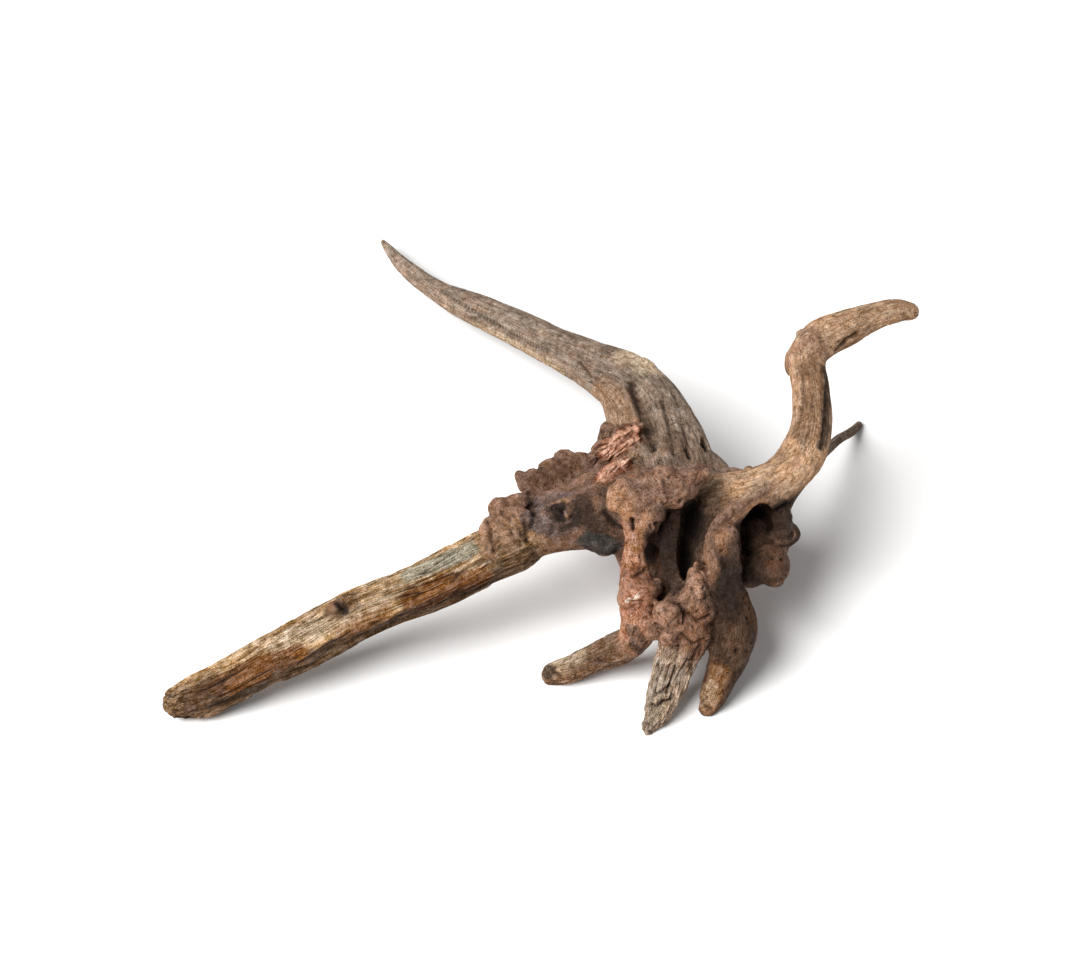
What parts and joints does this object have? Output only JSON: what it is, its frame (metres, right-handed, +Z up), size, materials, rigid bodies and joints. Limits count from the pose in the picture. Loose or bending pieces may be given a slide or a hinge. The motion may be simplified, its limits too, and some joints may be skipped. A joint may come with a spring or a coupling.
{
  "type": "sinker wood",
  "caption": "Weathered driftwood root with a lumpy crown, a long limb, a swept horn, a raised antler and three short feet, for an aquarium or terrarium.",
  "frame": {"origin": "middle of the footprint's bounding box, on the surface that the root stands on", "axes": "+Z up; +X to the right and +Y away, as seen from the side where the long limb points to the lower left and the three feet point to the front"},
  "size_m": [0.4373, 0.4258, 0.1388],
  "materials": {
    "burl_wood": "weathered, pitted",
    "limb_wood": "weathered, fibrous",
    "horn_wood": "weathered, fluted",
    "antler_wood": "worn smooth",
    "foot_wood": "weathered",
    "splintered_wood": "splintered",
    "brown_wood": "weathered",
    "twig_wood": "weathered"
  },
  "bodies": {
    "root": {"burl": "burl_wood", "long_limb": "limb_wood", "swept_horn": "horn_wood", "raised_antler": "antler_wood", "left_foot": "foot_wood", "splintered_foot": "splintered_wood", "right_foot": "brown_wood", "back_twig": "twig_wood"}
  },
  "joints": []
}
